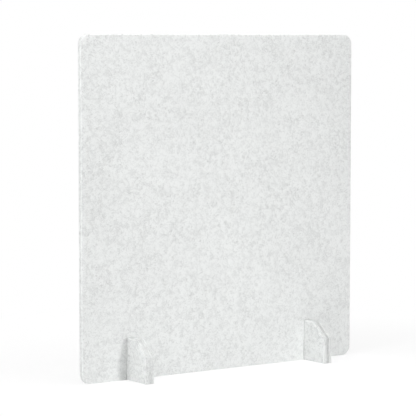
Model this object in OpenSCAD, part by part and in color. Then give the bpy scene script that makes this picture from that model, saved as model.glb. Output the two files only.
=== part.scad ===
// Free-standing felt divider screen for a desk: one upright panel and two slotted cross feet.
// Each foot is two felt plies bonded face to face. Panel and feet halve into each other.
// Millimetres. X runs along the panel, -Y is the front, +Z is up.
// The origin is on the desk, under the middle of the panel.

/* [Panel] */
// Width of the panel, from side to side
panel_width = 600; // [420:1:900]
// Height of the panel above the desk
panel_height = 610; // [250:1:900]
// Thickness of the felt board that the panel is cut from
panel_thickness = 9; // [6:0.5:14]
// Radius of the panel's four corners
corner_radius = 18; // [5:1:60]

/* [Feet] */
// Distance from each side of the panel to the middle of its nearer foot
foot_inset = 102; // [75:1:180]
// Length of a foot, from its front end to its back end
foot_length = 130; // [100:1:220]
// Height of a foot at its flat top
foot_height = 75; // [52:1:120]
// Height of a foot's two upright ends
foot_end_height = 47; // [25:1:70]
// Length of a foot's flat top, with the slot in its middle
foot_top_length = 63; // [40:1:90]
// Radius that rounds the flat top into each slope
shoulder_radius = 9; // [1:1:14]
// Thickness of each of the two felt plies that make a foot
ply_thickness = 9; // [6:0.5:12]

/* [Halving joint] */
// Height at which the panel's slots end and the slots of the feet begin
joint_height = 38; // [20:1:48]
// Room on each side of a board in the slot that it slides into
slot_clearance = 0.3; // [0.1:0.05:1]
// Room between the end of a panel slot and the floor of the foot's slot below it
seat_clearance = 0.3; // [0.1:0.05:1]

/* [Hidden] */
// How far every cut runs past the surface that it opens
cut_overrun = 2;
// Smoothness of the panel's corners
corner_segments = 96;
// Number of straight steps along a rounded shoulder
shoulder_steps = 12;
// Felt as its faces show it, and as the cut plies of the feet show it
panel_color = [0.900, 0.907, 0.903];
ply_color = [0.870, 0.877, 0.873];

// Two plies make one foot, and the foot's middle plane is the bond between them
foot_thickness = 2 * ply_thickness;
foot_middle = panel_width / 2 - foot_inset;

// Width of the slot that takes the foot, and of the slot that takes the panel
panel_slot_width = foot_thickness + 2 * slot_clearance;
foot_slot_width = panel_thickness + 2 * slot_clearance;

// Slope between a foot's flat top and its upright end, and where its rounding begins
slope_run = (foot_length - foot_top_length) / 2;
slope_drop = foot_height - foot_end_height;
slope_angle = atan2(slope_drop, slope_run);
shoulder_setback = shoulder_radius * tan(slope_angle / 2);

// The sides that the two feet stand on, and the layers of a foot counted from its bond
LEFT = -1;
RIGHT = 1;
OUTER = 1;
INNER = -1;

// Outline of the panel as seen from the front, standing on the X axis
module panel_outline() {
    middle_height = panel_height / 2;
    straight_width = panel_width - 2 * corner_radius;
    straight_height = panel_height - 2 * corner_radius;
    translate([0, middle_height]) {
        square([panel_width, straight_height], center = true);
        square([straight_width, panel_height], center = true);
        for (side = [LEFT, RIGHT], level = [-1, 1])
            translate([side * straight_width / 2, level * straight_height / 2])
                circle(r = corner_radius, $fn = corner_segments);
    }
}

// Slot in the panel's bottom edge that slides down over a foot
module panel_slot(side) {
    slot_height = joint_height + seat_clearance + cut_overrun;
    translate([side * foot_middle, 0, slot_height / 2 - cut_overrun])
        cube([panel_slot_width, panel_thickness + 2 * cut_overrun, slot_height], center = true);
}

// Points of one rounded shoulder, from the slope up to the flat top
function shoulder(direction) = [
    for (step = [0:shoulder_steps])
        let (angle = 90 - slope_angle * (1 - step / shoulder_steps))
            [
                direction * (foot_top_length / 2 - shoulder_setback + shoulder_radius * cos(angle)),
                foot_height - shoulder_radius + shoulder_radius * sin(angle)
            ]
];

function reversed(points) = [for (index = [len(points) - 1:-1:0]) points[index]];

// Outline of a foot as seen from its side, standing on the X axis, without its slot
module foot_outline() {
    half_length = foot_length / 2;
    polygon(concat(
        [[-half_length, 0], [half_length, 0], [half_length, foot_end_height]],
        shoulder(1),
        reversed(shoulder(-1)),
        [[-half_length, foot_end_height]]
    ));
}

// One ply of a foot, lying against the foot's middle plane on its outer or inner side
module foot_ply(side, layer) {
    slot_depth = foot_height - joint_height + cut_overrun;
    ply_middle = side * (foot_middle + layer * ply_thickness / 2);
    color(ply_color)
        translate([ply_middle, 0, 0])
            difference() {
                rotate([90, 0, 90])
                    linear_extrude(height = ply_thickness, center = true)
                        foot_outline();
                translate([0, 0, joint_height + slot_depth / 2])
                    cube([ply_thickness + 2 * cut_overrun, foot_slot_width, slot_depth], center = true);
            }
}

module panel() {
    color(panel_color)
        difference() {
            rotate([90, 0, 0])
                linear_extrude(height = panel_thickness, center = true)
                    panel_outline();
            for (side = [LEFT, RIGHT])
                panel_slot(side);
        }
}

module left_foot_outer_ply() {
    foot_ply(LEFT, OUTER);
}

module left_foot_inner_ply() {
    foot_ply(LEFT, INNER);
}

module right_foot_inner_ply() {
    foot_ply(RIGHT, INNER);
}

module right_foot_outer_ply() {
    foot_ply(RIGHT, OUTER);
}

panel();
left_foot_outer_ply();
left_foot_inner_ply();
right_foot_inner_ply();
right_foot_outer_ply();
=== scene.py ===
# %% [markdown]
# A free-standing divider screen for a desk, made of pressed felt board. It is one upright panel
# with rounded corners, standing in two slotted cross feet, and each foot is two felt plies glued
# face to face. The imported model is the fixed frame: each piece made here fills the box of its CAD
# solid, in the same place. Only what a box can't tell, such as a corner's radius or the height of
# a slot, is a named value here, with the same measure as in the solids.

# %% Open the frame
import math

import bmesh
import bpy
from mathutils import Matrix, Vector


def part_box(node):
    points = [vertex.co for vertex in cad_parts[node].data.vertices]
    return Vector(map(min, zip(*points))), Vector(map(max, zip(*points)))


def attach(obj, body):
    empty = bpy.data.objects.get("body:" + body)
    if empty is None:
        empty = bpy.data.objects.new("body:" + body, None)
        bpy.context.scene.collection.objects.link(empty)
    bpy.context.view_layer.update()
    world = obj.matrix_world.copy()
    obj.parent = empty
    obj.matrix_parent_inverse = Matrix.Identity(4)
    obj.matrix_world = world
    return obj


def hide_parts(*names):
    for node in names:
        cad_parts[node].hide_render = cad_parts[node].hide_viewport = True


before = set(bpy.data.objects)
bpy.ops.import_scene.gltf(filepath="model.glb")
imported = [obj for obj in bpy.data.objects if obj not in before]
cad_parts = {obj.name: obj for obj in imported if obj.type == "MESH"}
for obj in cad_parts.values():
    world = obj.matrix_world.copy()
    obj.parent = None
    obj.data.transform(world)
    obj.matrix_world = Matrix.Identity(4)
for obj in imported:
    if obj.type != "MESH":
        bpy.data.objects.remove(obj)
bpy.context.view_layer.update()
MM = 0.001
print("nodes:", sorted(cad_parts))

# %% [markdown]
# The picture is taken from the front left, a little over three and a half metres away, through a
# long lens, with the camera about level with the top of the panel. A long lens from far off keeps
# the panel's two sides nearly parallel, which a short lens from close by could not do.

# %% The camera
FRAME_PIXELS = 416
SENSOR = 36.0
FOCAL_PIXELS = 1996.8
CAMERA_PLACE = (-2.100, -2.950, 0.596)
CAMERA_TURN = 35.074
CAMERA_DIP = 4.749

camera_data = bpy.data.cameras.new("camera")
camera_data.sensor_width = SENSOR
camera_data.lens = FOCAL_PIXELS / FRAME_PIXELS * SENSOR
camera = bpy.data.objects.new("camera", camera_data)
bpy.context.scene.collection.objects.link(camera)
camera.location = CAMERA_PLACE
camera.rotation_euler = (math.radians(90 - CAMERA_DIP), 0, math.radians(-CAMERA_TURN))
bpy.context.scene.camera = camera
print("lens:", round(camera_data.lens, 1), "mm")

# %% [markdown]
# A mesh can be typed in point by point, but a board with slots and rounded edges is made sooner
# in a maker's own steps: a block, cuts and bevels. Blender's operators work on whatever is
# selected, so each step starts by selecting one piece, and then its edges by where they are.
# These few helpers keep that in one place.

# %% Helpers for selecting and shaping
def only(piece):
    """Selects one piece and nothing else, and makes it the active one."""
    bpy.ops.object.select_all(action="DESELECT")
    piece.select_set(True)
    bpy.context.view_layer.objects.active = piece


def add_block(name, low, high):
    """Adds a cube that fills the box between two corners, with its place in its mesh."""
    low = Vector(low)
    high = Vector(high)
    bpy.ops.object.select_all(action="DESELECT")
    bpy.ops.mesh.primitive_cube_add(size=1, location=(low + high) / 2, scale=high - low)
    block = bpy.context.object
    block.name = name
    block.data.name = name
    bpy.ops.object.transform_apply(location=True, rotation=True, scale=True)
    return block


def select_edges(piece, wanted):
    """In edit mode, selects the edges whose two end points pass a test."""
    mesh = bmesh.from_edit_mesh(piece.data)
    bpy.ops.mesh.select_mode(type="EDGE")
    bpy.ops.mesh.select_all(action="DESELECT")
    for edge in mesh.edges:
        edge.select_set(wanted(edge.verts[0].co, edge.verts[1].co))
    mesh.select_flush_mode()
    bmesh.update_edit_mesh(piece.data)


def apply_modifier(piece, name, kind, **settings):
    """Adds one modifier with its settings and applies it at once."""
    only(piece)
    modifier = piece.modifiers.new(name, kind)
    for key, value in settings.items():
        setattr(modifier, key, value)
    bpy.ops.object.modifier_apply(modifier=name)


def cut_away(piece, low, high):
    """Cuts a box-shaped slot out of a piece, and removes the cutter."""
    cutter = add_block("cutter", low, high)
    apply_modifier(piece, "cut", "BOOLEAN", object=cutter, operation="DIFFERENCE", solver="EXACT")
    bpy.data.objects.remove(cutter)


def report(piece):
    """Prints what a piece has become."""
    triangles = sum(len(face.vertices) - 2 for face in piece.data.polygons)
    print(piece.name, "triangles:", triangles)


# %% [markdown]
# Felt board is cut with a knife, so its outline is crisp but its long edges, the arrises, are a
# little soft. A rounded arris is what catches the light along every edge in the picture, and the
# two soft arrises that meet where the plies of a foot are glued leave the dark line between them.
# Smooth shading alone could not do that, so every sharp edge gets a real bevel. The felt's colour
# adds to both: a painted highlight along the arrises, and painted shade along that dark line.

# %% Sizes that the panel and the feet share
JOINT_HEIGHT = 38 * MM
SLOT_CLEARANCE = 0.3 * MM
OVERRUN = 5 * MM
TOLERANCE = 0.01 * MM
SHARP_ANGLE = math.radians(30)
ARRIS_STEPS = 3


def soften_arrises(piece, width):
    """Rounds every sharp edge of a cut board."""
    apply_modifier(
        piece, "arris", "BEVEL",
        width=width, segments=ARRIS_STEPS, limit_method="ANGLE", angle_limit=SHARP_ANGLE,
    )


print("the slots meet at:", round(JOINT_HEIGHT / MM), "mm")

# %% [markdown]
# A flat board needs no points in the middle of its faces, but felt is never quite flat, and
# points have to be there before they can be moved. Slicing the piece with planes puts them in:
# coarse slices along and across, then one subdivision of the long edges only, which is far
# quicker than hundreds of slices. Fine slices through the thickness give the cut edges layers.

# %% Helpers for adding points
X, Y, Z = range(3)
AXES = (Vector((1, 0, 0)), Vector((0, 1, 0)), Vector((0, 0, 1)))


def slice_piece(axis, low, high, spacing):
    """Slices the active piece with evenly spaced planes square to an axis."""
    count = max(1, round((high - low) / spacing))
    bpy.ops.object.mode_set(mode="EDIT")
    for index in range(1, count):
        bpy.ops.mesh.select_all(action="SELECT")
        place = low + (high - low) * index / count
        bpy.ops.mesh.bisect(plane_co=AXES[axis] * place, plane_no=AXES[axis])
    bpy.ops.object.mode_set(mode="OBJECT")


def refine_long_edges(piece, longer_than, cuts):
    """Divides every edge above a length into equal parts."""
    bpy.ops.object.mode_set(mode="EDIT")
    select_edges(piece, lambda a, b: (a - b).length > longer_than)
    bpy.ops.mesh.subdivide(number_cuts=cuts)
    bpy.ops.object.mode_set(mode="OBJECT")


def add_points(piece, thin, coarse, cuts, layers):
    """Gives a board points: its layers first, then a grid over its faces."""
    only(piece)
    low = [min(vertex.co[axis] for vertex in piece.data.vertices) for axis in (X, Y, Z)]
    high = [max(vertex.co[axis] for vertex in piece.data.vertices) for axis in (X, Y, Z)]
    slice_piece(thin, low[thin], high[thin], (high[thin] - low[thin]) / layers)
    for axis in (X, Y, Z):
        if axis != thin:
            slice_piece(axis, low[axis], high[axis], coarse)
    refine_long_edges(piece, coarse / 2, cuts)


# %% [markdown]
# The panel is one board that stands on its bottom edge. It starts as a block of the CAD panel's
# own size. Its four corners are bevelled round, the two slots are cut up from its bottom edge, a
# hair wider than the feet that fill them, and then its arrises are softened. The slots come
# before the arrises, so that their edges are softened too.

# %% Model the panel
FEET = {
    "left_foot": ("left_foot_outer_ply", "left_foot_inner_ply"),
    "right_foot": ("right_foot_inner_ply", "right_foot_outer_ply"),
}
CORNER_RADIUS = 18 * MM
CORNER_STEPS = 16
PANEL_ARRIS = 1.3 * MM
PANEL_COARSE = 14 * MM
PANEL_CUTS = 3
PANEL_LAYERS = 10


def box_of(nodes):
    """The lowest and highest corner of several CAD nodes together."""
    lows, highs = zip(*(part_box(node) for node in nodes))
    low = Vector(min(corner[axis] for corner in lows) for axis in (X, Y, Z))
    high = Vector(max(corner[axis] for corner in highs) for axis in (X, Y, Z))
    return low, high


panel_low, panel_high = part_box("panel")
panel = add_block("panel_board", panel_low, panel_high)
bpy.ops.object.mode_set(mode="EDIT")
select_edges(panel, lambda a, b: abs(a.y - b.y) > TOLERANCE)
bpy.ops.mesh.bevel(offset=CORNER_RADIUS, segments=CORNER_STEPS, affect="EDGES")
bpy.ops.object.mode_set(mode="OBJECT")
for nodes in FEET.values():
    foot_low, foot_high = box_of(nodes)
    cut_away(
        panel,
        (foot_low.x - SLOT_CLEARANCE, panel_low.y - OVERRUN, panel_low.z - OVERRUN),
        (foot_high.x + SLOT_CLEARANCE, panel_high.y + OVERRUN, JOINT_HEIGHT + SLOT_CLEARANCE),
    )
soften_arrises(panel, PANEL_ARRIS)
add_points(panel, Y, PANEL_COARSE, PANEL_CUTS, PANEL_LAYERS)
report(panel)

# %% [markdown]
# A ply of a foot starts as a block too. Two slanting cuts take off its upper corners, the edge
# where each slope meets the flat top is rounded, and the slot that takes the panel is cut down
# from the top. The plies are alike, so one is modelled and the others are copies moved into
# place, each with a mesh of its own.

# %% Model one ply of a foot
FIRST_NODE = "left_foot_outer_ply"
FOOT_END_HEIGHT = 47 * MM
FOOT_TOP_LENGTH = 63 * MM
FOOT_TOP_HALF = FOOT_TOP_LENGTH / 2
SHOULDER_RADIUS = 9 * MM
SHOULDER_STEPS = 6
PLY_ARRIS = 0.8 * MM
PLY_COARSE = 8 * MM
PLY_CUTS = 3
PLY_LAYERS = 12


def cut_slope(side, top, run, drop):
    """In edit mode, takes one upper corner off with a slanting cut that closes behind it."""
    bpy.ops.mesh.select_all(action="SELECT")
    bpy.ops.mesh.bisect(
        plane_co=(0, side * FOOT_TOP_HALF, top), plane_no=(0, side * drop, run),
        use_fill=True, clear_outer=True,
    )


def on_shoulder(point, top):
    """Whether a point lies where a slope meets the flat top."""
    return abs(abs(point.y) - FOOT_TOP_HALF) < TOLERANCE and abs(point.z - top) < TOLERANCE


def make_ply(name, low, high):
    """Models one ply of a foot in the box of its CAD node."""
    ply = add_block(name, low, high)
    run = high.y - FOOT_TOP_HALF
    drop = high.z - FOOT_END_HEIGHT
    bpy.ops.object.mode_set(mode="EDIT")
    for side in (-1, 1):
        cut_slope(side, high.z, run, drop)
    select_edges(ply, lambda a, b: on_shoulder(a, high.z) and on_shoulder(b, high.z))
    setback = SHOULDER_RADIUS * math.tan(math.atan2(drop, run) / 2)
    bpy.ops.mesh.bevel(offset=setback, segments=SHOULDER_STEPS, affect="EDGES")
    bpy.ops.object.mode_set(mode="OBJECT")
    slot_half = (panel_high.y - panel_low.y) / 2 + SLOT_CLEARANCE
    cut_away(
        ply,
        (low.x - OVERRUN, -slot_half, JOINT_HEIGHT),
        (high.x + OVERRUN, slot_half, high.z + OVERRUN),
    )
    soften_arrises(ply, PLY_ARRIS)
    add_points(ply, X, PLY_COARSE, PLY_CUTS, PLY_LAYERS)
    return ply


first_low, first_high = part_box(FIRST_NODE)
plies = {FIRST_NODE: make_ply(FIRST_NODE + "_felt", first_low, first_high)}
report(plies[FIRST_NODE])

# %% Copy it to the other three places
for nodes in FEET.values():
    for node in nodes:
        if node == FIRST_NODE:
            continue
        copy = plies[FIRST_NODE].copy()
        copy.data = plies[FIRST_NODE].data.copy()
        copy.name = node + "_felt"
        copy.data.name = copy.name
        bpy.context.scene.collection.objects.link(copy)
        copy.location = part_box(node)[0] - first_low
        only(copy)
        bpy.ops.object.transform_apply(location=True, rotation=True, scale=True)
        plies[node] = copy
print("plies:", sorted(plies))

# %% [markdown]
# Pressed faces and cut edges of felt look different, and one material has to show both. Each
# piece could be split between two materials, but their border would be hard. So every piece
# remembers, point by point, how far the point is on a cut edge, which its normal tells: 0 on a
# pressed face, 1 on a cut edge and something between on the arris. The material and the relief
# both read it. The plies also remember how dark a point is near the glue between the two plies:
# partly the dark glue line, and partly painted shade for the groove there. On the right foot this
# painted shade is broader and darker than on the left one.

# %% Mark faces, cut edges, and the glue line with its painted shade
GLUE_LINES_AND_SHADE = {
    "left_foot": {"starts": 0.45, "strength": 0.8},
    "right_foot": {"starts": 0.05, "strength": 1.5},
}
FACE_GROUP = "pressed_faces"
EDGE_GROUP = "cut_edges"


def add_mark(piece, name, values):
    """Stores one number for each point of a piece."""
    mark = piece.data.attributes.new(name, "FLOAT", "POINT")
    mark.data.foreach_set("value", values)


def glue_and_shade_at(depth, starts, strength):
    """How dark glue and painted shade make a point at this depth, counted towards the glued face.
    """
    return strength * max(0, (depth - starts) / (1 - starts)) ** 2


def mark_board(piece, thin, low, high, bond_side=0, starts=0.0, strength=0.0):
    """Marks cut edges and glue with painted shade, and makes the relief's two vertex groups."""
    middle = (low[thin] + high[thin]) / 2
    half = (high[thin] - low[thin]) / 2
    depths = [(vertex.co[thin] - middle) / half for vertex in piece.data.vertices]
    cuts = [1 - vertex.normal[thin] ** 2 for vertex in piece.data.vertices]
    bonds = [glue_and_shade_at(depth * bond_side, starts, strength) for depth in depths]
    add_mark(piece, "cut_edge", cuts)
    add_mark(piece, "near_bond", bonds)
    faces = piece.vertex_groups.new(name=FACE_GROUP)
    edges = piece.vertex_groups.new(name=EDGE_GROUP)
    for index, cut in enumerate(cuts):
        faces.add([index], 1 - cut, "REPLACE")
        edges.add([index], cut, "REPLACE")


mark_board(panel, Y, panel_low, panel_high)
for body, nodes in FEET.items():
    foot_low, foot_high = box_of(nodes)
    for node in nodes:
        ply_low, ply_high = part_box(node)
        bond_side = 1 if ply_low.x < (foot_low.x + foot_high.x) / 2 - TOLERANCE else -1
        mark_board(plies[node], X, ply_low, ply_high, bond_side, **GLUE_LINES_AND_SHADE[body])
        print(node, "is glued on its", "right" if bond_side > 0 else "left")

# %% [markdown]
# The Displace modifier moves points by a cloud texture. Three passes make felt out of a flat
# board: a slow swell over the whole panel that keeps clear of the joints, a fine relief on the
# pressed faces, and layers on the cut edges. For the layers the texture is read in the space of
# an empty that is squeezed flat in the board's thickness, so the clouds become thin streaks.

# %% Helpers for the relief
def clouds(name, scale, depth):
    """A cloud texture whose lumps are about this far apart, with finer lumps for each depth."""
    texture = bpy.data.textures.new(name, "CLOUDS")
    texture.noise_scale = scale
    texture.noise_depth = depth
    return texture


def displace(piece, texture, strength, group, direction="NORMAL", space=None):
    """Moves a group's points in and out by a texture, read in the space of the piece or another."""
    apply_modifier(
        piece, texture.name, "DISPLACE",
        texture=texture, texture_coords="OBJECT" if space else "LOCAL", texture_coords_object=space,
        direction=direction, strength=strength, mid_level=0.5, vertex_group=group,
    )


def squeezed_space(thin, along, through):
    """An empty whose own space stretches a texture along a board and squeezes it through it."""
    space = bpy.data.objects.new("layer_space", None)
    bpy.context.scene.collection.objects.link(space)
    space.scale = [through if axis == thin else along for axis in (X, Y, Z)]
    bpy.context.view_layer.update()
    return space


# %% Swell, relief and layers
SWELL_LENGTH = 160 * MM
SWELL_HEIGHT = 1.2 * MM
SWELL_FROM = 90 * MM
SWELL_FULL = 260 * MM
SWELL_GROUP = "clear_of_the_joints"
RELIEF_LENGTH = 9 * MM
RELIEF_HEIGHT = 0.10 * MM
LAYER_ALONG = 14 * MM
LAYER_THROUGH = 1.1 * MM
LAYER_HEIGHT = 0.28 * MM
SMOOTH_ANGLE = math.radians(50)

swell = panel.vertex_groups.new(name=SWELL_GROUP)
for vertex in panel.data.vertices:
    rise = (vertex.co.z - SWELL_FROM) / (SWELL_FULL - SWELL_FROM)
    swell.add([vertex.index], min(1, max(0, rise)), "REPLACE")
displace(panel, clouds("swell", SWELL_LENGTH, depth=1), SWELL_HEIGHT, SWELL_GROUP, direction="Y")
for piece, thin in [(panel, Y)] + [(ply, X) for ply in plies.values()]:
    displace(piece, clouds("relief", RELIEF_LENGTH, depth=2), RELIEF_HEIGHT, FACE_GROUP)
    layer_space = squeezed_space(thin, LAYER_ALONG, LAYER_THROUGH)
    layers = clouds("layers", scale=1.0, depth=2)
    displace(piece, layers, LAYER_HEIGHT, EDGE_GROUP, space=layer_space)
    bpy.data.objects.remove(layer_space)
    only(piece)
    bpy.ops.object.shade_smooth_by_angle(angle=SMOOTH_ANGLE)
print("panel spans:", [round(size / MM, 2) for size in panel.dimensions], "mm")

# %% [markdown]
# Pressed felt is a mat of short fibres that lie every way in the plane of the board. Most are
# nearly white and some are grey, and the grey ones gather in loose tufts, which is the heather
# that shows from across a room. A photograph of felt would repeat and lose its sharpness close
# by, so the fibres are drawn by shader nodes, which read the place on the board and need no
# picture. These helpers place the nodes and fill them in.

# %% Helpers for shader nodes
def new_group(name, inputs, outputs):
    """Starts a shader node group with named sockets: (kind, name, default) for each input."""
    group = bpy.data.node_groups.new(name, "ShaderNodeTree")
    for kind, label, value in inputs:
        socket = group.interface.new_socket(label, in_out="INPUT", socket_type=kind)
        if value is not None:
            socket.default_value = value
    for kind, label in outputs:
        group.interface.new_socket(label, in_out="OUTPUT", socket_type=kind)
    return group


def add_node(tree, kind, inputs, **settings):
    """Adds a node, sets its properties, and fills its inputs with values or links."""
    node = tree.nodes.new(kind)
    for key, value in settings.items():
        setattr(node, key, value)
    for key, value in inputs.items():
        if isinstance(value, bpy.types.NodeSocket):
            tree.links.new(value, node.inputs[key])
        else:
            node.inputs[key].default_value = value
    return node


def math_node(tree, operation, first, second, clamp=False):
    """A Math node's result, from two values or links."""
    inputs = {0: first, 1: second}
    node = add_node(tree, "ShaderNodeMath", inputs, operation=operation, use_clamp=clamp)
    return node.outputs[0]


def product(tree, first, *others):
    """Several values or links multiplied together."""
    for other in others:
        first = math_node(tree, "MULTIPLY", first, other)
    return first


def vector_math(tree, operation, first, second):
    """A Vector Math node's result, from two places, values or links."""
    inputs = {0: first, 1: second}
    return add_node(tree, "ShaderNodeVectorMath", inputs, operation=operation).outputs[0]


def noise(tree, place, scale, detail, roughness=0.5):
    """The outputs of a noise texture read at a place."""
    inputs = {"Vector": place, "Scale": scale, "Detail": detail, "Roughness": roughness}
    return add_node(tree, "ShaderNodeTexNoise", inputs).outputs


def remap(tree, value, low, high, to_low=0.0, to_high=1.0):
    """A value eased from one range into another, and held at its ends."""
    inputs = {
        "Value": value, "From Min": low, "From Max": high, "To Min": to_low, "To Max": to_high,
    }
    node = add_node(tree, "ShaderNodeMapRange", inputs, interpolation_type="SMOOTHSTEP")
    return node.outputs[0]


def mix_colors(tree, share, first, second, blend="MIX"):
    """A second colour laid over a first by a share of its strength."""
    inputs = {"Factor": share, "A": first, "B": second}
    node = add_node(tree, "ShaderNodeMix", inputs, data_type="RGBA", blend_type=blend)
    return node.outputs["Result"]


# %% [markdown]
# One node group draws one family of fibres, all lying about the same way, by stretching noise
# along the fibre and bending it a little. Several families laid over each other, each turned and
# shifted against the one before, make a mat whose fibres lie every way.

# %% A family of fibres
FLOAT = "NodeSocketFloat"
VECTOR = "NodeSocketVector"
COLOR = "NodeSocketColor"
BEND_SCALE = 90.0
FINE_ROUGHNESS = 0.6
NOISE_MIDDLE = (0.5, 0.5, 0.5)


def make_fibre_group():
    """Fibres that all lie about one way: a mask that is 1 on a fibre and 0 between them."""
    group = new_group(
        "fibre_family",
        [
            (VECTOR, "Place", None),
            (FLOAT, "Direction", 0.0),
            (FLOAT, "Length", 8 * MM),
            (FLOAT, "Width", 0.6 * MM),
            (FLOAT, "Bend", 2.5 * MM),
            (FLOAT, "Cover", 0.5),
            (FLOAT, "Softness", 0.1),
        ],
        [(FLOAT, "Fibres")],
    )
    source = group.nodes.new("NodeGroupInput").outputs
    wander = noise(group, source["Place"], BEND_SCALE, detail=1.0)["Color"]
    centred = vector_math(group, "SUBTRACT", wander, NOISE_MIDDLE)
    bend = vector_math(group, "MULTIPLY", centred, source["Bend"])
    bent = vector_math(group, "ADD", source["Place"], bend)
    turned = add_node(
        group, "ShaderNodeVectorRotate",
        {"Vector": bent, "Angle": source["Direction"]}, rotation_type="Z_AXIS",
    )
    size = add_node(
        group, "ShaderNodeCombineXYZ",
        {"X": source["Length"], "Y": source["Width"], "Z": source["Width"]},
    )
    stretched = vector_math(group, "DIVIDE", turned.outputs[0], size.outputs[0])
    strands = noise(group, stretched, scale=1.0, detail=1.0, roughness=FINE_ROUGHNESS)[0]
    low = math_node(group, "SUBTRACT", source["Cover"], source["Softness"])
    high = math_node(group, "ADD", source["Cover"], source["Softness"])
    target = group.nodes.new("NodeGroupOutput")
    group.links.new(remap(group, strands, low, high), target.inputs["Fibres"])
    return group


fibre_family = make_fibre_group()
print("sockets:", [item.name for item in fibre_family.interface.items_tree])

# %% Fibres that lie every way
FAMILY_SHIFT = (0.13, 0.29, 0.017)


def lay_fibres(tree, place, settings, families, first_turn):
    """Lays several families over each other and keeps the strongest at each place."""
    mask = 0.0
    for index in range(families):
        shift = tuple(part * index for part in FAMILY_SHIFT)
        turn = first_turn + math.pi * index / families
        inputs = {"Place": vector_math(tree, "ADD", place, shift), "Direction": turn, **settings}
        family = add_node(tree, "ShaderNodeGroup", inputs, node_tree=fibre_family)
        mask = math_node(tree, "MAXIMUM", family.outputs[0], mask)
    return mask


# %% [markdown]
# Pale fibres are the ground of the felt, and only their relief shows. Grey fibres lie over them
# in tufts, and sparse darker flecks, where fibres have knotted, lie over both. Fibres spread
# evenly would look like plain cloth from across a room, so one noise says where the tufts are,
# and a slower one makes them stronger in some places than in others.

# %% Fibres in tufts
PALE_FIBRES = {"Cover": 0.58, "Length": 7 * MM, "Width": 0.7 * MM}
GREY_FIBRES = {"Length": 9 * MM, "Width": 1.3 * MM}
FLECKS = {"Cover": 0.673, "Length": 9 * MM, "Width": 2.4 * MM, "Softness": 0.06}
TUFT_SCALE = 130.0
TUFT_RANGE = (0.30, 0.75)
TUFT_COVER = (0.72, 0.50)
CLOUD_SCALE = 24.0
CLOUD_SHARE = (0.75, 1.25)
NOISE_RANGE = (0.3, 0.7)


def heather_share(tree, source):
    """How much grey shows at a place, and the height of the fibres there."""
    place = source["Place"]
    tufts = noise(tree, place, TUFT_SCALE, detail=3.0, roughness=FINE_ROUGHNESS)[0]
    in_tufts = {"Cover": remap(tree, tufts, *TUFT_RANGE, *TUFT_COVER), **GREY_FIBRES}
    grey = lay_fibres(tree, place, in_tufts, families=4, first_turn=0.24)
    flecks = lay_fibres(tree, place, FLECKS, families=3, first_turn=0.70)
    pale = lay_fibres(tree, place, PALE_FIBRES, families=3, first_turn=1.10)
    slow = noise(tree, place, CLOUD_SCALE, detail=2.0)[0]
    cloud = remap(tree, slow, *NOISE_RANGE, *CLOUD_SHARE)
    tufted = product(tree, grey, source["Heather"], cloud)
    flecked = product(tree, flecks, source["Flecks"])
    share = math_node(tree, "ADD", tufted, flecked, clamp=True)
    return share, math_node(tree, "MAXIMUM", pale, flecks)


# %% [markdown]
# On the pressed faces the tone is nearly even. On a cut edge streaks run along it, where one
# layer of the mat is denser than the next. Where two plies are glued the edge darkens towards the
# glue: partly the dark glue line, and partly painted shade for the groove between the plies.
# Along every arris, halfway between face and edge, a painted highlight makes the felt paler, for
# the light that a rounded arris catches. Each of these only makes the felt lighter or darker, so
# together they are one number, by which the colour is multiplied.

# %% Tone of faces and cut edges, with painted shade and painted highlight
DRIFT_SCALE = 7.0
DRIFT = 0.012
STREAKS = (45.0, 45.0, 420.0)
STREAK_DEPTH = 0.16
ARRIS_PEAK = 4.0


def felt_tone(tree, source):
    """The colour's factor: 1 on faces; streaks, glue, painted shade on cut edges; painted arris
    highlight.
    """
    streak_place = vector_math(tree, "MULTIPLY", source["Place"], STREAKS)
    streaks = noise(tree, streak_place, scale=1.0, detail=2.0, roughness=FINE_ROUGHNESS)[0]
    streak = remap(tree, streaks, *NOISE_RANGE, -STREAK_DEPTH / 2, STREAK_DEPTH / 2)
    # The glue line is partly real and partly painted shade for the groove between the plies.
    glue = product(tree, source["Bond"], source["Bond Shade"])
    edge = math_node(tree, "ADD", source["Edge Shade"], streak)
    edge = math_node(tree, "SUBTRACT", edge, glue)
    loss = product(tree, math_node(tree, "SUBTRACT", 1.0, edge), source["Cut"])
    drift = noise(tree, source["Place"], DRIFT_SCALE, detail=1.0)[0]
    face = remap(tree, drift, *NOISE_RANGE, 1 - DRIFT, 1 + DRIFT)
    # Cut times uncut is a quarter halfway round the arris, and the peak brings that up to 1. What
    # it adds is a painted highlight along every arris.
    uncut = math_node(tree, "SUBTRACT", 1.0, source["Cut"])
    painted_highlight = product(tree, source["Cut"], uncut, ARRIS_PEAK, source["Painted Highlight"])
    return math_node(tree, "ADD", math_node(tree, "SUBTRACT", face, loss), painted_highlight)


# %% [markdown]
# Fibres and tone go into one group with named inputs, so that panel and feet are the same felt
# and differ only in a few values. The same nodes placed in each material would look no different,
# but every change would have to be made twice.

# %% Heathered felt
PALE_COLOR = (0.8366, 0.8504, 0.8435, 1.0)
GREY_COLOR = (0.4300, 0.4380, 0.4350, 1.0)
HEATHER = 0.29
FLECK_SHADE = 0.25
BOND_SHADE = 0.36


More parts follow.
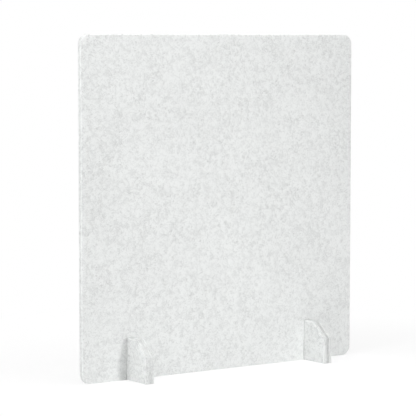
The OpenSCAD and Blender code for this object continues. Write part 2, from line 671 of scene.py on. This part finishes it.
def make_felt_group():
    """Heathered felt: colour and height from a place in the board and its marks."""
    group = new_group(
        "heathered_felt",
        [
            (VECTOR, "Place", None),
            (FLOAT, "Cut", 0.0),
            (FLOAT, "Bond", 0.0),
            (COLOR, "Pale", PALE_COLOR),
            (COLOR, "Grey", GREY_COLOR),
            (FLOAT, "Heather", HEATHER),
            (FLOAT, "Flecks", FLECK_SHADE),
            (FLOAT, "Edge Shade", 1.0),
            (FLOAT, "Painted Highlight", 0.0),
            (FLOAT, "Bond Shade", BOND_SHADE),
        ],
        [(COLOR, "Color"), (FLOAT, "Height")],
    )
    source = group.nodes.new("NodeGroupInput").outputs
    share, height = heather_share(group, source)
    fibres = mix_colors(group, share, source["Pale"], source["Grey"])
    tone = felt_tone(group, source)
    tone_inputs = {"Red": tone, "Green": tone, "Blue": tone}
    tone_color = add_node(group, "ShaderNodeCombineColor", tone_inputs).outputs[0]
    target = group.nodes.new("NodeGroupOutput")
    toned = mix_colors(group, 1.0, fibres, tone_color, "MULTIPLY")
    group.links.new(toned, target.inputs["Color"])
    group.links.new(height, target.inputs["Height"])
    return group


heathered_felt = make_felt_group()
print("felt nodes:", len(heathered_felt.nodes))

# %% [markdown]
# Panel and feet are cut from the same felt, but the board lies another way in each, and the
# fibres have to lie in its plane. A mapping turns the board's plane onto the X and Y of the felt
# group, and shifts it so that the feet don't repeat the panel's pattern. The feet's faces are
# painted a little paler than the panel's, which is painted light that makes up for the light the
# panel keeps off them, and their cut edges are darker. Each also sets its own painted highlight
# along the arrises. Felt scatters light every way, so it is rough, with hardly a gloss and a
# little sheen from the fibre ends.

# %% Felt materials
QUARTER_TURN = math.radians(90)
PANEL_TURN = (-QUARTER_TURN, 0, 0)
PANEL_SHIFT = (0, 0, 0)
PANEL_TONES = {"Pale": PALE_COLOR, "Edge Shade": 1.02, "Painted Highlight": 0.20}
FOOT_TURN = (0, QUARTER_TURN, 0)
FOOT_SHIFT = (0.4, 0.2, 0)
# Painted light: the feet's paler colour stands in for light that the panel keeps off them.
FOOT_TONES_AND_PAINTED_LIGHT = {"Pale": (0.8820, 0.8965, 0.8892, 1.0), "Edge Shade": 0.88, "Painted Highlight": 0.13}
BUMP_STRENGTH = 0.25
BUMP_HEIGHT = 0.1 * MM
FELT_SURFACE = {
    "Roughness": 0.95,
    "Specular IOR Level": 0.15,
    "Sheen Weight": 0.08,
    "Sheen Roughness": 0.5,
}


def felt_material(name, turn, shift, tones):
    """Felt whose fibres lie in the plane of its board: turn lays that plane on X and Y."""
    material = bpy.data.materials.new(name)
    material.use_nodes = True
    tree = material.node_tree
    shader = tree.nodes["Principled BSDF"]
    place = tree.nodes.new("ShaderNodeTexCoord").outputs["Object"]
    mapping_inputs = {"Vector": place, "Location": shift, "Rotation": turn}
    mapped = add_node(tree, "ShaderNodeMapping", mapping_inputs).outputs[0]
    cut = add_node(tree, "ShaderNodeAttribute", {}, attribute_name="cut_edge").outputs["Fac"]
    bond = add_node(tree, "ShaderNodeAttribute", {}, attribute_name="near_bond").outputs["Fac"]
    felt_inputs = {"Place": mapped, "Cut": cut, "Bond": bond, **tones}
    felt = add_node(tree, "ShaderNodeGroup", felt_inputs, node_tree=heathered_felt)
    bump_inputs = {
        "Height": felt.outputs["Height"], "Strength": BUMP_STRENGTH, "Distance": BUMP_HEIGHT,
    }
    bump = add_node(tree, "ShaderNodeBump", bump_inputs)
    tree.links.new(felt.outputs["Color"], shader.inputs["Base Color"])
    tree.links.new(bump.outputs[0], shader.inputs["Normal"])
    for socket, value in FELT_SURFACE.items():
        shader.inputs[socket].default_value = value
    return material


panel_felt = felt_material("pressed_panel_felt", PANEL_TURN, PANEL_SHIFT, PANEL_TONES)
foot_felt = felt_material("pressed_foot_felt", FOOT_TURN, FOOT_SHIFT, FOOT_TONES_AND_PAINTED_LIGHT)
print("materials:", panel_felt.name, foot_felt.name)

# %% [markdown]
# The panel lifts out of its feet, so each piece has to move with its own body. It could be posed
# by hand for each picture, but a piece that rides on a body follows every pose by itself. Each
# piece also hides the plain solid that it replaces.

# %% Dress the pieces and hang them on their bodies
panel.data.materials.clear()
panel.data.materials.append(panel_felt)
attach(panel, "panel")
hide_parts("panel")
for body, nodes in FEET.items():
    for node in nodes:
        ply = plies[node]
        ply.data.materials.clear()
        ply.data.materials.append(foot_felt)
        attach(ply, body)
        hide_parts(node)
    print(body, "carries:", nodes)

# %% [markdown]
# The floor is plain and pale. Far from the screen the camera sees it as plain white, so that it
# meets the white behind it without a line. Near the screen a part of its brightness is the light
# that falls on it, which keeps the soft shadow round the feet. It lies a hair below them, so that
# no two faces share a plane. A white floor without that shadow would leave the screen floating.
# Both floor and backdrop show one shader to the camera and give light by another, so that the
# white that is seen doesn't light the felt.

# %% What is seen and what gives light
WHITE = (1, 1, 1, 1)


def seen_directly(tree):
    """1 for rays of the camera and for those that a gloss or a glass sends on, and otherwise 0."""
    rays = tree.nodes.new("ShaderNodeLightPath").outputs
    glossy = math_node(tree, "MAXIMUM", rays["Is Glossy Ray"], rays["Is Transmission Ray"])
    return math_node(tree, "MAXIMUM", rays["Is Camera Ray"], glossy)


def show_and_light(tree, shown, lighting):
    """One shader for the rays that see a surface, and another for the light that it gives."""
    inputs = {0: seen_directly(tree), 1: lighting.outputs[0], 2: shown.outputs[0]}
    return add_node(tree, "ShaderNodeMixShader", inputs).outputs[0]


# %% Floor
FLOOR_SIZE = 30.0
FLOOR_DROP = 0.3 * MM
FLOOR_GLOW = 0.73
FLOOR_TONE = 0.30
FLOOR_BOUNCE = (0.90, 0.90, 0.90, 1)
SHADOW_FULL = 0.40
SHADOW_GONE = 0.85

bpy.ops.object.select_all(action="DESELECT")
bpy.ops.mesh.primitive_plane_add(size=FLOOR_SIZE, location=(0, 0, -FLOOR_DROP))
floor = bpy.context.object
floor.name = "floor"
floor_paint = bpy.data.materials.new("floor_paint")
floor_paint.use_nodes = True
tree = floor_paint.node_tree
tree.nodes.clear()
place = tree.nodes.new("ShaderNodeTexCoord").outputs["Object"]
distance = add_node(tree, "ShaderNodeVectorMath", {0: place}, operation="LENGTH").outputs["Value"]
near = remap(tree, distance, SHADOW_FULL, SHADOW_GONE, to_low=1.0, to_high=0.0)
strength = math_node(tree, "SUBTRACT", 1.0, product(tree, near, 1 - FLOOR_GLOW))
glow = add_node(tree, "ShaderNodeEmission", {"Color": WHITE, "Strength": strength})
lit = add_node(tree, "ShaderNodeBsdfDiffuse", {"Color": product(tree, near, FLOOR_TONE)})
seen = add_node(tree, "ShaderNodeAddShader", {0: glow.outputs[0], 1: lit.outputs[0]})
bounce = add_node(tree, "ShaderNodeBsdfDiffuse", {"Color": FLOOR_BOUNCE})
add_node(tree, "ShaderNodeOutputMaterial", {"Surface": show_and_light(tree, seen, bounce)})
floor.data.materials.append(floor_paint)
print("floor:", FLOOR_SIZE, "m square")

# %% [markdown]
# The light is that of a plain studio. A small soft box low in front, just right of the middle, is
# the main one. The left foot keeps its light off the strip of panel on the foot's left, which
# shows as a soft shadow, while the right foot's shadow is short and falls on its right, where the
# camera can't see it. Two boxes overhead light the faces and the upper edges, and boxes on the
# left light the sides that face them and fade towards the right side of the panel. Those behind
# keep the back as well lit as the front.

# %% Lamps
LAMPS = {
    "key_box": {"place": (0.09, -1.15, 0.12), "size": (0.18, 0.26), "power": 4.7},
    "front_overhead_box": {"place": (0.00, -0.60, 1.60), "size": (1.40, 0.50), "power": 8.2},
    "overhead_box": {"place": (0.00, -0.10, 1.80), "size": (1.20, 0.40), "power": 5.2},
    "high_left_box": {"place": (-1.30, -0.50, 1.30), "size": (0.50, 0.50), "power": 7.4},
    "low_left_box": {"place": (-1.60, -0.08, 0.12), "size": (0.60, 0.30), "power": 1.8},
    "left_box": {"place": (-2.20, 0.15, 0.40), "size": (1.00, 0.90), "power": 3.0},
    "back_left_box": {"place": (-1.80, 0.90, 0.50), "size": (0.80, 1.00), "power": 5.0},
    "back_right_box": {"place": (2.00, 0.90, 0.50), "size": (0.80, 1.00), "power": 6.0},
    "back_box": {"place": (0.60, 1.70, 0.45), "size": (1.20, 0.80), "power": 17.0},
}
AIM = Vector((0, 0, 0.30))

for name, lamp in LAMPS.items():
    light = bpy.data.lights.new(name, "AREA")
    light.shape = "RECTANGLE"
    light.size, light.size_y = lamp["size"]
    light.energy = lamp["power"]
    lamp_object = bpy.data.objects.new(name, light)
    bpy.context.scene.collection.objects.link(lamp_object)
    lamp_object.location = lamp["place"]
    lamp_object.rotation_euler = (AIM - Vector(lamp["place"])).to_track_quat("-Z", "Y").to_euler()
    lamp_object.visible_camera = False
print("lamps:", sorted(LAMPS))

# %% [markdown]
# Behind the floor's far edge is the world. The camera sees it as white, and the light that it
# gives is weak and comes from everywhere, as from the walls of a room, so that no side of the
# screen is left dark. The Standard view shows colours as they are written, where a film-like one
# would turn the white grey.

# %% Surround and view
SURROUND = 0.18

world = bpy.data.worlds.new("surround")
bpy.context.scene.world = world
world.use_nodes = True
tree = world.node_tree
tree.nodes.clear()
surround = add_node(tree, "ShaderNodeBackground", {"Color": WHITE, "Strength": SURROUND})
backdrop = add_node(tree, "ShaderNodeBackground", {"Color": WHITE, "Strength": 1.0})
add_node(tree, "ShaderNodeOutputWorld", {"Surface": show_and_light(tree, backdrop, surround)})
bpy.context.scene.view_settings.view_transform = "Standard"
print("surround:", SURROUND, "of white")

# %% [markdown]
# A dressed piece must not grow out of its solid, or it would no longer fit its neighbours.

# %% Bring the scene up to date
bpy.context.view_layer.update()
